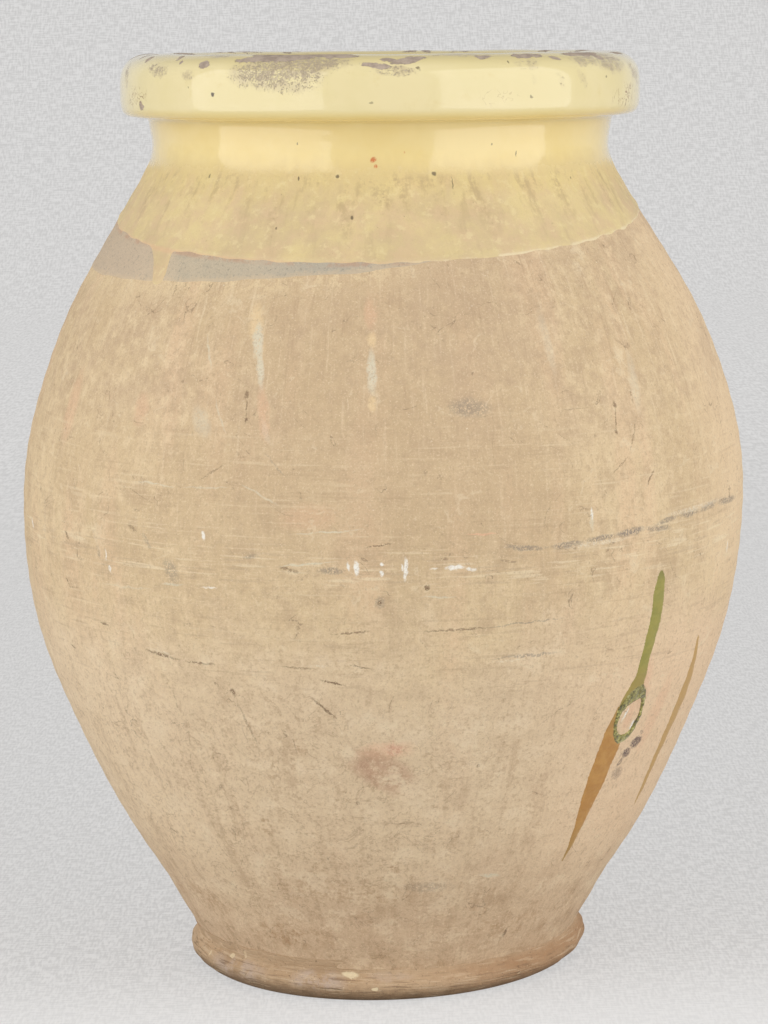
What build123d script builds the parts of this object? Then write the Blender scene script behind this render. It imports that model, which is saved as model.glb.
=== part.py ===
from build123d import *
from math import cos, radians, sin, tan
import os

os.makedirs("parts", exist_ok=True)

# An olive jar of coarse fired clay: thrown and coiled in stages, luted together,
# washed with slip, glazed at the top and lined inside. Millimetres, +Z up.
# The origin is the middle of the flat foot, on the surface that the jar stands on.
# The front is towards -Y. The walls are turned about an axis that leans a little
# towards +X, and the foot is level. Angles are in degrees, and an angle round the
# jar is counted from the front towards +X.

# The whole jar
overall_height = 689.0
lean_angle = 1.35
belly_radius = 273.8
belly_height = 356.0

# Foot ring, base and floor
waist_radius = 148.6
waist_height = 22.0
waist_flare = 25.0
base_inset = 11.6
foot_ring_proud = 5.0
foot_ring_rise = 1.0
foot_bulge_height = 13.0
foot_contact_inset = 5.6
foot_edge_angle = 20.0
foot_crown_inset = 2.6
foot_crown_slope = 6.0
floor_thickness = 24.0
floor_corner_width = 56.0
slab_edge_height = 12.0
slab_seat_inset = 30.0
trim_allowance = 9.0

# Walls and their luting joints
wall_thickness = 14.5
seam_bevel = 24.0
lower_seam_share = 0.47
belly_seam_share = 0.40
shoulder_seam_share = 0.93

# Mouth, neck and rim
mouth_radius = 150.0
mouth_land_length = 40.0
mouth_edge_drop = 21.0
neck_wall = 19.3
neck_drop = 20.5
neck_root_flare = 2.0
rim_depth = 44.5
rim_overhang = 21.0
rim_lip_width = 12.6
rim_bulge_drop = 29.0
rim_face_inset = 4.8
rim_face_drop = 9.0
rim_crest_inset = 22.4

# Coats of slip and glaze, and how their dip lines slope from back to front and from side to side
slip_thickness = 0.4
glaze_thickness = 0.7
glaze_dip_drop = 116.5
glaze_dip_front_tilt = 7.1
glaze_dip_side_tilt = 0.9
slip_dip_drop = 128.1
slip_dip_front_tilt = 4.1
slip_dip_side_tilt = 6.9

# Drip at the glaze's lower edge
drip_angle = -47.0
drip_top_width = 27.0
drip_length = 43.0
drip_tip_radius = 6.0
drip_tip_shift = 2.0

# Runs of kiln glaze and the scar they end in, on the right of the belly
run_thickness = 1.2
green_run_angle = 46.0
green_run_width = 10.6
green_run_drop = 29.0
green_run_shift = -3.4
scar_angle = 45.5
scar_drop = 135.0
scar_half_height = 22.6
scar_half_width = 12.6
scar_bead_width = 3.8
scar_thickness = 2.0
scar_turn = -5.0
amber_run_angle = 41.8
amber_run_drop = 133.0
amber_run_length = 118.5
amber_run_width = 23.5
amber_run_shift = -1.8
side_run_angle = 59.5
side_run_drop = 89.0
side_run_length = 129.0
side_run_width = 17.0
side_run_shift = 0.0

# How far a cutting shape runs past what it cuts
overrun = 30.0

# Points of the wall from the waist to the belly: shares of the rise and of the spread
lower_shape_shares = [(0.110, 0.139), (0.232, 0.342), (0.382, 0.556), (0.532, 0.731), (0.697, 0.893)]
# Points of the wall from the belly to the neck: shares of the rise and of the narrowing
upper_shape_shares = [(0.183, 0.044), (0.369, 0.178), (0.556, 0.378), (0.705, 0.600), (0.817, 0.778), (0.910, 0.922)]
# Where along those curves the inner face is measured off the outer one
lower_station_shares = [0.86, 0.72, 0.58, 0.43, 0.28, 0.14]
upper_station_shares = [0.84, 0.70, 0.56, 0.42, 0.28, 0.14, 0.0]
# The coats start this far along the curve to the neck, under their dip lines
coat_start_share = 0.30
# The runs' shells lie between these shares of the curve to the belly
shell_foot_share = 0.10
shell_head_share = 0.97
# A run is widest at this share of its length
run_widest_share = 0.4

# Heights and radii worked out from the sizes above
rim_underside_height = overall_height - rim_depth
neck_height = rim_underside_height - neck_drop
mouth_land_top = overall_height - mouth_edge_drop
mouth_land_foot = mouth_land_top - mouth_land_length
coat_thickness = slip_thickness + glaze_thickness
mouth_clay_radius = mouth_radius + coat_thickness
neck_radius = mouth_clay_radius + neck_wall
neck_root_radius = neck_radius + neck_root_flare
rim_radius = neck_root_radius + rim_overhang
rim_lip_radius = neck_root_radius + rim_lip_width
foot_ring_radius = waist_radius + foot_ring_proud
foot_ring_height = waist_height + foot_ring_rise
slab_seat_radius = waist_radius - slab_seat_inset
far_radius = belly_radius + overrun
far_height = overall_height + overrun
up = Vector(0, 0, 1)
down = Vector(0, 0, -1)
outward = Vector(1, 0, 0)
inward = Vector(-1, 0, 0)


def at(radius, height):
    """A point of the jar's half section."""
    return Vector(radius, 0, height)


def sloped(direction, rise_angle):
    """A level direction turned up by an angle."""
    return direction * cos(radians(rise_angle)) + up * sin(radians(rise_angle))


def drawn(*points, tangents):
    """A smooth curve through points, at an even pace from end to end."""
    return Spline(*points, tangents=tangents, tangent_scalars=[1, 1])


def off_curve(curve, share, distance):
    """A point beside a curve of the clay's face, this far out of the clay."""
    tangent = curve % share
    return curve @ share + Vector(tangent.Z, 0, -tangent.X) * distance


def beside(curve, distance, first_share=0.0, last_share=1.0, steps=24):
    """A curve at this distance outside a stretch of a curve of the clay's face."""
    stretch_share = last_share - first_share
    points = [off_curve(curve, first_share + stretch_share * step / steps, distance) for step in range(steps + 1)]
    return drawn(*points, tangents=[curve % first_share, curve % last_share])


def turned(half_section):
    """A solid turned from a half section about the jar's own axis."""
    return revolve(half_section, Axis.Z)


def leaned(solid):
    """The solid in its place, with the jar's axis leaning towards +X."""
    return solid.rotate(Axis.Y, lean_angle)


# Outer face of the clay, from the foot over the rim to the mouth's edge
waist = at(waist_radius, waist_height)
belly = at(belly_radius, belly_height)
neck = at(neck_radius, neck_height)
neck_root = at(neck_root_radius, rim_underside_height)
rim_lip = at(rim_lip_radius, rim_underside_height)
rim_bulge = at(rim_radius, overall_height - rim_bulge_drop)
rim_shoulder = at(rim_radius - rim_face_inset, overall_height - rim_face_drop)
rim_crest = at(rim_radius - rim_crest_inset, overall_height)
mouth_edge = at(mouth_clay_radius, mouth_land_top)

belly_rise = belly_height - waist_height
belly_spread = belly_radius - waist_radius
lower_points = [
    waist + up * belly_rise * rise_share + outward * belly_spread * spread_share
    for rise_share, spread_share in lower_shape_shares
]
neck_rise = neck_height - belly_height
neck_narrowing = belly_radius - neck_radius
upper_points = [
    belly + up * neck_rise * rise_share + inward * neck_narrowing * narrow_share
    for rise_share, narrow_share in upper_shape_shares
]
lower_curve = drawn(waist, *lower_points, belly, tangents=[sloped(outward, 90 - waist_flare), up])
upper_curve = drawn(belly, *upper_points, neck, tangents=[up, up])
neck_curve = drawn(neck, neck_root, tangents=[up, up])
rim_under = Line(neck_root, rim_lip)
rim_lower = Spline(rim_lip, rim_bulge, tangents=[outward, up])
rim_face = Spline(rim_bulge, rim_shoulder, rim_crest, tangents=[up, inward])
rim_inside = Spline(rim_crest, mouth_edge, tangents=[inward, down])

# Inner face of the clay, from the mouth down to the floor
mouth_land_end = at(mouth_clay_radius, mouth_land_foot)
inner_points = [off_curve(upper_curve, share, -wall_thickness) for share in upper_station_shares]
inner_points += [off_curve(lower_curve, share, -wall_thickness) for share in lower_station_shares]
floor_edge = at(waist_radius - floor_corner_width, floor_thickness)
floor_middle = at(0, floor_thickness)
mouth_land = Line(mouth_edge, mouth_land_end)
wall_foot_way = (lower_curve % lower_station_shares[-1]) * -1
inner_curve = drawn(mouth_land_end, *inner_points, tangents=[down, wall_foot_way])
corner_curve = drawn(inner_points[-1], floor_edge, tangents=[wall_foot_way, inward])
floor_line = Line(floor_edge, floor_middle)

# The base runs on below the level that it is trimmed to
base_edge = at(waist_radius - base_inset, -trim_allowance)
base_middle = at(0, -trim_allowance)
base_line = Line(base_middle, base_edge)
base_side = Line(base_edge, waist)
outer_face = [lower_curve, upper_curve, neck_curve, rim_under, rim_lower, rim_face, rim_inside]
inner_face = [mouth_land, inner_curve, corner_curve, floor_line]
clay_section = make_face([*outer_face, *inner_face, Line(floor_middle, base_middle), base_line, base_side])


def seam(curve, share):
    """A bevelled luting joint across the wall, from its outer end to its inner end."""
    outer = off_curve(curve, share, wall_thickness)
    inner = off_curve(curve, share, -2 * wall_thickness)
    drop = (outer - inner).length * tan(radians(seam_bevel)) / 2
    return outer + up * drop, inner - up * drop


def carried(outer, inner):
    """A joint's line carried level to the far outside and to the axis."""
    return [at(far_radius, outer.Z), outer, inner, at(0, inner.Z)]


rim_seam_drop = (neck_root_radius - mouth_radius) * tan(radians(seam_bevel))
joint_lines = [
    [at(far_radius, -overrun), at(0, -overrun)],
    carried(at(foot_ring_radius, slab_edge_height), at(slab_seat_radius, 2 * floor_thickness)),
    carried(*seam(lower_curve, lower_seam_share)),
    carried(*seam(upper_curve, belly_seam_share)),
    carried(*seam(upper_curve, shoulder_seam_share)),
    carried(neck_root, at(mouth_radius, rim_underside_height - rim_seam_drop)),
    [at(far_radius, far_height), at(0, far_height)],
]
stage_names = ["floor_slab", "lower_wall", "belly_wall", "shoulder_wall", "neck_collar", "rim_roll"]

below_level = Pos(0, 0, -far_radius) * Box(4 * far_radius, 4 * far_radius, 2 * far_radius)
solids = {}
for name, low_line, high_line in zip(stage_names, joint_lines, joint_lines[1:]):
    band = make_face(Polyline(*low_line, *reversed(high_line), close=True))
    solids[name] = leaned(turned(clay_section & band))
for name in ("floor_slab", "lower_wall"):
    solids[name] -= below_level

# The foot ring is level, and is pressed round the leaning base
ring_root = at(slab_seat_radius, 0)
ring_top_root = at(slab_seat_radius, foot_ring_height)
ring_contact = at(waist_radius - foot_contact_inset, 0)
ring_bulge = at(foot_ring_radius, foot_bulge_height)
ring_crown = at(waist_radius - foot_crown_inset, foot_ring_height)
ring_section = make_face(
    [
        Line(ring_root, ring_contact),
        Spline(ring_contact, ring_bulge, tangents=[sloped(outward, foot_edge_angle), up]),
        Spline(ring_bulge, ring_crown, tangents=[up, sloped(inward, foot_crown_slope)]),
        Line(ring_crown, ring_top_root),
        Line(ring_top_root, ring_root),
    ]
)
belly_middle = at(0, belly_height)
body_section = make_face(
    [lower_curve, Line(belly, belly_middle), Line(belly_middle, base_middle), base_line, base_side]
)
solids["foot_ring"] = turned(ring_section) - leaned(turned(body_section))


# Coats follow the clay, as thin strips in the half section
def coated_face(distance):
    """The outer face from the shoulder to the mouth's edge, this far outside the clay."""
    if distance == 0:
        return [upper_curve.trim(coat_start_share, 1), neck_curve, rim_under, rim_lower, rim_face, rim_inside]
    corner = at(neck_root_radius + distance, rim_underside_height - distance)
    lip = at(rim_lip_radius, rim_underside_height - distance)
    return [
        beside(upper_curve, distance, coat_start_share),
        drawn(off_curve(neck_curve, 0, distance), corner, tangents=[up, up]),
        Line(corner, lip),
        beside(rim_lower, distance),
        beside(rim_face, distance),
        beside(rim_inside, distance),
    ]


def strip(near_line, far_line):
    """The half section between two lines of edges that run side by side."""
    start = Line(near_line[0] @ 0, far_line[0] @ 0)
    end = Line(near_line[-1] @ 1, far_line[-1] @ 1)
    return make_face([*near_line, *far_line, start, end])


def below_dip(drop, front_tilt, side_tilt):
    """All that lies under a dip line."""
    return Pos(0, 0, overall_height - drop) * Rot(front_tilt, -side_tilt, 0) * below_level


def facing(angle):
    """The upright plane through the axis that faces this angle, with its second axis upwards."""
    turn = radians(angle)
    return Plane(origin=(0, 0, 0), x_dir=(cos(turn), sin(turn), 0), z_dir=(sin(turn), -cos(turn), 0))


def pushed_out(outline, angle):
    """An outline on the upright plane at this angle, pushed out past the jar."""
    return extrude(facing(angle) * outline, far_radius)


slip_shell = turned(strip(coated_face(0), coated_face(slip_thickness)))
glaze_shell = turned(strip(coated_face(slip_thickness), coated_face(coat_thickness)))
under_glaze = below_dip(glaze_dip_drop, glaze_dip_front_tilt, glaze_dip_side_tilt)
under_slip = below_dip(slip_dip_drop, slip_dip_front_tilt, slip_dip_side_tilt)

drip_top = overall_height - glaze_dip_drop
drip_tip = drip_top - drip_length
drip_right = drip_tip_shift + drip_tip_radius
drip_left = drip_tip_shift - drip_tip_radius
drip_round_height = drip_tip + drip_tip_radius
drip_outline = make_face(
    [
        Polyline(
            (drip_left, drip_round_height),
            (-drip_top_width / 2, drip_top),
            (drip_top_width / 2, drip_top),
            (drip_right, drip_round_height),
        ),
        ThreePointArc((drip_right, drip_round_height), (drip_tip_shift, drip_tip), (drip_left, drip_round_height)),
    ]
)
drip_prism = pushed_out(drip_outline, drip_angle)
solids["slip_coat"] = leaned(slip_shell - ((under_glaze & under_slip) - drip_prism))
solids["outer_glaze"] = leaned(glaze_shell - (under_glaze - drip_prism))

lined_edge = floor_edge + up * coat_thickness
lined_middle = floor_middle + up * coat_thickness
lining_face = [
    Line(at(mouth_radius, mouth_land_top), at(mouth_radius, mouth_land_foot)),
    beside(inner_curve, coat_thickness, steps=36),
    beside(corner_curve, coat_thickness),
    Line(lined_edge, lined_middle),
]
solids["inner_glaze"] = leaned(turned(strip(inner_face, lining_face)))


# Runs of kiln glaze lie on the bare clay of the lower belly
def belly_shell(thickness):
    """A thin shell over the lower half of the belly."""
    clay_line = lower_curve.trim(shell_foot_share, shell_head_share)
    return turned(strip([clay_line], [beside(lower_curve, thickness, shell_foot_share, shell_head_share)]))


def run_outline(drop, length, width, shift):
    """A run that is pointed at its top and its tip, drawn down from the belly's height."""
    top = (0, belly_height - drop)
    tip = (shift, belly_height - drop - length)
    widest_height = belly_height - drop - length * run_widest_share
    right = Spline(top, (width / 2, widest_height), tip)
    left = Spline(tip, (-width / 2, widest_height), top)
    return make_face([right, left])


run_shell = belly_shell(run_thickness)
scar_shell = belly_shell(scar_thickness)

scar_height = belly_height - scar_drop
scar_place = Pos(0, scar_height) * Rot(0, 0, scar_turn)
scar_outline = scar_place * Ellipse(scar_half_width, scar_half_height)
scar_hole = scar_place * Ellipse(scar_half_width - scar_bead_width, scar_half_height - scar_bead_width)
scar_prism = pushed_out(scar_outline, scar_angle)
scar_bead_prism = scar_prism - pushed_out(scar_hole, scar_angle)

green_top = belly_height - green_run_drop
green_half = green_run_width / 2
green_outline = make_face(
    [
        Polyline(
            (green_half, green_top - green_half),
            (green_run_shift + green_half, scar_height),
            (green_run_shift - green_half, scar_height),
            (-green_half, green_top - green_half),
        ),
        Spline(
            (-green_half, green_top - green_half),
            (0, green_top),
            (green_half, green_top - green_half),
            tangents=[(0, 1), (0, -1)],
        ),
    ]
)
amber_outline = run_outline(amber_run_drop, amber_run_length, amber_run_width, amber_run_shift)
side_outline = run_outline(side_run_drop, side_run_length, side_run_width, side_run_shift)

solids["ring_scar"] = leaned(scar_shell & scar_bead_prism)
solids["green_glaze_run"] = leaned((run_shell & pushed_out(green_outline, green_run_angle)) - scar_prism)
solids["amber_glaze_run"] = leaned((run_shell & pushed_out(amber_outline, amber_run_angle)) - scar_prism)
solids["side_glaze_run"] = leaned(run_shell & pushed_out(side_outline, side_run_angle))

for name, solid in solids.items():
    export_step(solid, f"parts/{name}.step")
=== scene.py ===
from math import atan2, cos, degrees, hypot, pi, radians, sin

import bpy
import numpy as np
from mathutils import Euler, Matrix


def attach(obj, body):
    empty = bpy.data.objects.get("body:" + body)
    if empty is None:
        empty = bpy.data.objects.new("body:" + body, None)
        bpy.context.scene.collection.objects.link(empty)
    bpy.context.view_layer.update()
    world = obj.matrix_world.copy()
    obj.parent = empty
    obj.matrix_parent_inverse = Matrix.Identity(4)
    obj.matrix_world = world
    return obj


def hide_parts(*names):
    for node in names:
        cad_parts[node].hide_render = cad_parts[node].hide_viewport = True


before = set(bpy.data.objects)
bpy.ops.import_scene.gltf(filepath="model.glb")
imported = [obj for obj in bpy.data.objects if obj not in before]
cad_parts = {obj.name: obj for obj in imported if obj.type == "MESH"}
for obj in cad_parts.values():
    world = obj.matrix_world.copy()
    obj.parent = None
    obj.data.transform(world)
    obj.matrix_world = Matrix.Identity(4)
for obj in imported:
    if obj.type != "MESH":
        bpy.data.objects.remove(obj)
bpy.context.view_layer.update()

# An olive jar of coarse clay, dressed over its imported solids. Sizes are in millimetres
# and turn to metres when a vertex is placed. The jar is turned about its own axis, which
# leans towards +X. An angle round the jar is counted from the front, -Y, towards +X.
mm = 0.001

# The whole jar
overall_height = 689.0
lean = radians(1.35)
belly_radius = 273.8
belly_height = 356.0

# Foot ring and floor
waist_radius = 148.6
waist_height = 22.0
waist_flare = radians(25)
base_radius = 138.6
ring_radius = 153.3
ring_bulge_height = 13.0
ring_contact_radius = 140.8
ring_waist_radius = 147.0
ring_waist_height = 24.0
ring_top_radius = 150.4
ring_top_height = 34.0
ring_shift = 1.6
ring_pitch = 1.1
ring_pressed = 0.9
ring_fingered = 0.8
ring_worn = 2.2
ring_raised = 0.9
floor_height = 24.0
floor_edge_radius = 92.6

# Walls, mouth and rim
wall_thickness = 14.5
slab_joint_height = 18.5
mouth_radius = 150.0
mouth_edge_height = 668.0
mouth_land_foot = 628.0
neck_radius = 170.4
neck_height = 624.0
neck_root_radius = 172.4
rim_underside = 644.5
rim_lip_radius = 185.0
rim_radius = 193.4
rim_bulge_height = 660.0
rim_shoulder_radius = 190.4
rim_shoulder_height = 680.4
rim_crest_radius = 172.0
rim_round_pull = 1.36

# Points of the wall: shares of the rise, and of the spread or the narrowing
lower_shape = [(0.110, 0.139), (0.232, 0.342), (0.382, 0.556), (0.532, 0.731), (0.697, 0.893)]
upper_shape = [(0.183, 0.044), (0.369, 0.178), (0.556, 0.378), (0.705, 0.600), (0.817, 0.778), (0.910, 0.922)]
lower_stations = [0.14, 0.28, 0.43, 0.58, 0.72, 0.86]
upper_stations = [0.0, 0.14, 0.28, 0.42, 0.56, 0.70, 0.84]

# Coats: how far they stand off the clay and sink into it, and their dip lines, each as its
# height on the axis, its rise to the right and its fall to the front
slip_lift = 0.25
slip_slope = 0.3
slip_sunk = 0.6
slip_wander = 1.1
slip_depth = 1.4
glaze_depth = 1.6
glaze_slope = 0.45
glaze_sunk = 0.7
lining_depth = 0.4
coat_thickness = 1.1
dull_thickness = 0.7
glaze_dip = (572.5, 3.3, 25.7)
slip_dip = (556.1, 22.2, 12.5)
gloss_line = 608.5
skirt_height = 516.0
slip_top_height = 600.0
fine_top_height = 602.0
thicker_from = 600
thicker_to = 626
drip_angle = -46.6
drip_foot_angle = -47.1
drip_foot_height = 536.0
drip_top_height = 561.0
drip_top_shift = -10.5
drip_top_half = 14.4
drip_tip_radius = 7.0
drip_fillet = 3.0
bead_height = 0.35
bead_inset = 2.6
bead_width = 1.8

# How the hand and the kiln left it
sectors = 16
sector_steps = 32
gathering = 0.55
fine_pitch = 1.7
wall_pitch = 3.2
hidden_pitch = 12.0
hand_inset = 0.9
waist_tuck = 3.2
hand_ribs = 0.16
rib_pitch = 2.7
hand_oval = 0.25
hand_lumps = 0.32
hand_shrink = 0.2
rim_lumps = 0.5
crest_lumps = 0.35
axis_drift = 1.5
drift_from = 110
drift_to = 580
chance = np.random.default_rng(11)


def drawn(points, start_way, end_way, pitch, pull=1.0):
    """A smooth line through points of the half section, with a point at about every pitch."""
    knots = np.array(points, float)
    spans = np.linalg.norm(np.diff(knots, axis=0), axis=1)
    system = np.eye(len(knots))
    ways = np.zeros_like(knots)
    ways[0], ways[-1] = pull * np.array(start_way), pull * np.array(end_way)
    for k in range(1, len(knots) - 1):
        before, after = spans[k - 1], spans[k]
        system[k, k - 1 : k + 2] = after, 2 * (before + after), before
        rise = after * (knots[k] - knots[k - 1]) / before + before * (knots[k + 1] - knots[k]) / after
        ways[k] = 3 * rise
    ways = np.linalg.solve(system, ways)
    line = [knots[0]]
    for k, span in enumerate(spans):
        steps = max(1, round(span / pitch))
        for t in np.arange(1, steps + 1) / steps:
            here = knots[k] * (1 + 2 * t) * (1 - t) ** 2 + knots[k + 1] * t * t * (3 - 2 * t)
            line.append(here + span * (ways[k] * t * (1 - t) ** 2 - ways[k + 1] * t * t * (1 - t)))
    return np.array(line)


def shares_along(line):
    reach = np.concatenate([[0], np.cumsum(np.linalg.norm(np.diff(line, axis=0), axis=1))])
    return reach / reach[-1]


def at_shares(line, shares):
    """Points of a line at shares of its length."""
    along = shares_along(line)
    return np.stack([np.interp(shares, along, line[:, 0]), np.interp(shares, along, line[:, 1])], axis=1)


def beside(line, distance):
    """A line at this distance to the right of the way that a line runs, which is out of the clay."""
    ways = np.gradient(line, axis=0)
    ways /= np.linalg.norm(ways, axis=1)[:, None]
    return line + distance * np.stack([ways[:, 1], -ways[:, 0]], axis=1)


def thinned(line, pitch):
    """The same line with fewer points."""
    length = np.linalg.norm(np.diff(line, axis=0), axis=1).sum()
    return at_shares(line, np.linspace(0, 1, max(2, round(length / pitch) + 1)))


def cut(line, low, high):
    """The stretch of a climbing line between two heights."""
    inside = line[(line[:, 1] > low) & (line[:, 1] < high)]
    ends = [[np.interp(h, line[:, 1], line[:, 0]), h] for h in (low, high)]
    return np.vstack([ends[0], inside, ends[1]])


def steep(angle):
    return cos(angle), sin(angle)


UP, DOWN, OUT, IN = (0, 1), (0, -1), (1, 0), (-1, 0)

# Outer face of the clay
waist = np.array([waist_radius, waist_height])
belly = np.array([belly_radius, belly_height])
neck = np.array([neck_radius, neck_height])
neck_root = np.array([neck_root_radius, rim_underside])
lower_points = [waist + (belly - waist) * (spread, rise) for rise, spread in lower_shape]
upper_points = [belly + (neck - belly) * (narrow, rise) for rise, narrow in upper_shape]
curve_pitch = 1.0
lower_face = drawn([waist, *lower_points, belly], steep(pi / 2 - waist_flare), UP, curve_pitch)
upper_face = drawn([belly, *upper_points, neck], UP, UP, curve_pitch)
neck_face = drawn([neck, neck_root], UP, UP, curve_pitch)
slab_joint = np.array([waist_radius - 1.3, slab_joint_height])
outer_face = np.vstack([slab_joint, lower_face, upper_face[1:], neck_face[1:]])
rim_lip = (rim_lip_radius, rim_underside)
rim_bulge = (rim_radius, rim_bulge_height)
rim_shoulder = (rim_shoulder_radius, rim_shoulder_height)
rim_crest = (rim_crest_radius, overall_height)
mouth_clay_radius = mouth_radius + coat_thickness
rim_under = drawn([neck_root, rim_lip], OUT, OUT, wall_pitch)
rim_lower = drawn([rim_lip, rim_bulge], OUT, UP, fine_pitch, rim_round_pull)
rim_face = drawn([rim_bulge, rim_shoulder, rim_crest], UP, IN, fine_pitch, rim_round_pull)
rim_inside = drawn([rim_crest, (mouth_clay_radius, mouth_edge_height)], IN, DOWN, fine_pitch, rim_round_pull)

# Inner face of the clay, climbing from the middle of the floor to the mouth
inner_points = [p for p in at_shares(beside(lower_face, -wall_thickness), lower_stations)]
inner_points += [p for p in at_shares(beside(upper_face, -wall_thickness), upper_stations)]
floor_edge = (floor_edge_radius, floor_height)
foot_way = np.diff(at_shares(lower_face, [lower_stations[0] - 0.01, lower_stations[0]]), axis=0)[0]
foot_way = foot_way / np.linalg.norm(foot_way)
corner_face = drawn([floor_edge, inner_points[0]], OUT, foot_way, curve_pitch)
inner_wall = drawn([*inner_points, (mouth_clay_radius, mouth_land_foot)], foot_way, UP, curve_pitch)
mouth_land = drawn([(mouth_clay_radius, mouth_land_foot), (mouth_clay_radius, mouth_edge_height)], UP, UP, wall_pitch)
inner_face = np.vstack([corner_face, inner_wall[1:], mouth_land[1:]])


def wave(count, reach):
    """Slow seamless waves round the jar, each as its turns, its climb, its start and its height."""
    turns, climbs = chance.integers(1, reach, count), chance.uniform(-0.03, 0.03, count)
    starts, sizes = chance.uniform(0, 2 * pi, count), chance.uniform(0.3, 1, count) / count**0.5
    return [turns, climbs, starts, sizes]


def waves_at(waves, angle, height):
    total = 0
    for turns, climb, start, size in zip(*waves):
        total = total + size * np.cos(turns * angle + climb * height + start)
    return total


def dip_line(dip, side, front):
    """The height of a tilted dip line where the wall faces this far to the side and to the front."""
    middle, rise, fall = dip
    return middle + rise * side - fall * front


lumps = wave(9, 6)
edge_waves = wave(16, 60)
slip_waves = wave(12, 40)
foot_waves = wave(18, 46)
rim_waves = wave(9, 9)


def ramp(low, high, value):
    t = np.clip((value - low) / (high - low), 0, 1)
    return t * t * (3 - 2 * t)


def thrown(angle, height):
    """How far the thrower's hand left the wall out of true."""
    wall = ramp(waist_height, 70, height) * (1 - ramp(610, neck_height + 16, height))
    ribs = hand_ribs * np.sin(height / rib_pitch + angle + 1.5 * np.sin(2 * angle))
    oval = hand_oval * np.cos(2 * (angle - 0.6))
    tuck = waist_tuck * (1 - ramp(27, 56, height))
    rim = rim_lumps * ramp(rim_underside, rim_underside + 6, height) * waves_at(rim_waves, angle, height)
    uneven = hand_lumps * waves_at(lumps, angle, height) + ribs + oval - hand_inset
    return wall * uneven + rim - tuck - hand_shrink


def settled(radius, angle, height):
    """Points of the jar put in their place, in metres, with its axis drifting and leaning."""
    radius = radius + ramp(20, 60, radius) * thrown(angle, height)
    way = (np.clip(height, drift_from, drift_to) - drift_from) / (drift_to - drift_from)
    drift = -axis_drift * np.sin(2 * pi * way)
    x, y = radius * np.sin(angle) + drift, -radius * np.cos(angle)
    crest = ramp(rim_bulge_height, overall_height, height) * (waves_at(rim_waves, 2 * angle, 0) - 1.5)
    z = height + crest_lumps * crest
    return np.stack([x * cos(lean) + z * sin(lean), y, z * cos(lean) - x * sin(lean)], axis=1) * mm


def gathered(angle):
    """Columns drawn closer together round the drip."""
    return angle - gathering * np.sin(angle - radians(drip_angle))


def vertices(piece):
    places = np.empty(3 * len(piece.data.vertices))
    piece.data.vertices.foreach_get("co", places)
    return places.reshape(-1, 3)


def move_vertices(piece, places):
    piece.data.vertices.foreach_set("co", np.ascontiguousarray(places).ravel())
    piece.data.update()


def spun(name, section):
    """A half section, drawn point by point, spun into a sector and the sector round the jar's axis."""
    bpy.ops.object.select_all(action="DESELECT")
    bpy.ops.mesh.primitive_plane_add(size=mm)
    piece = bpy.context.object
    piece.name = piece.data.name = name
    bpy.ops.object.mode_set(mode="EDIT")
    bpy.ops.mesh.select_all(action="SELECT")
    bpy.ops.mesh.merge(type="CENTER")
    places = (section if section[0, 0] == 0 else np.vstack([section, section[:1]])) * mm
    bpy.ops.transform.translate(value=(places[0, 0], 0, places[0, 1]))
    for step in np.diff(places, axis=0):
        bpy.ops.mesh.extrude_vertices_move(TRANSFORM_OT_translate={"value": (step[0], 0, step[1])})
    bpy.ops.mesh.select_all(action="SELECT")
    bpy.ops.mesh.remove_doubles(threshold=0.01 * mm)
    bpy.ops.mesh.select_all(action="SELECT")
    about = {"center": (0, 0, 0), "axis": (0, 0, 1)}
    bpy.ops.mesh.spin(steps=sector_steps, angle=2 * pi / sectors, **about)
    bpy.ops.mesh.select_all(action="SELECT")
    bpy.ops.mesh.spin(steps=sectors - 1, angle=2 * pi * (sectors - 1) / sectors, dupli=True, **about)
    bpy.ops.mesh.select_all(action="SELECT")
    bpy.ops.mesh.remove_doubles(threshold=0.01 * mm)
    bpy.ops.mesh.normals_make_consistent(inside=False)
    bpy.ops.object.mode_set(mode="OBJECT")
    return piece


def round_the_jar(piece):
    places = vertices(piece) / mm
    return np.hypot(places[:, 0], places[:, 1]), gathered(np.arctan2(places[:, 0], -places[:, 1])), places[:, 2]


def settle(piece):
    move_vertices(piece, settled(*round_the_jar(piece)))


def finished(piece, finish, slot, *nodes, crease=35):
    """Shades a piece, gives it its finish, and puts it in the place of the solids that it stands for."""
    bpy.ops.object.select_all(action="DESELECT")
    piece.select_set(True)
    bpy.context.view_layer.objects.active = piece
    bpy.ops.object.shade_smooth_by_angle(angle=radians(crease))
    piece.data.materials.clear()
    piece.data.materials.append(finish)
    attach(piece, "root")
    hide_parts(*nodes)


class Wire:
    """A socket's value; sums and products with it add their Math nodes."""

    def __init__(self, finish, socket):
        self.finish, self.socket = finish, socket

    def math(self, operation, *others):
        return self.finish.add("ShaderNodeMath", {"operation": operation}, dict(enumerate((self, *others))))

    def __add__(self, other):
        return self.math("ADD", other)

    def __sub__(self, other):
        return self.math("SUBTRACT", other)

    def __rsub__(self, other):
        return self * -1.0 + other

    def __mul__(self, other):
        return self.math("MULTIPLY", other)

    def __truediv__(self, other):
        return self.math("DIVIDE", other)

    def __or__(self, other):
        return self.math("MAXIMUM", other)

    def between(self, low, high, least=0.0, most=1.0):
        """Rises smoothly from least to most as the value goes from low to high."""
        sockets = {"Value": self, "From Min": low, "From Max": high, "To Min": least, "To Max": most}
        return self.finish.add("ShaderNodeMapRange", {"interpolation_type": "SMOOTHSTEP"}, sockets)

    __radd__ = __add__
    __rmul__ = __mul__
    __ror__ = __or__


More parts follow.
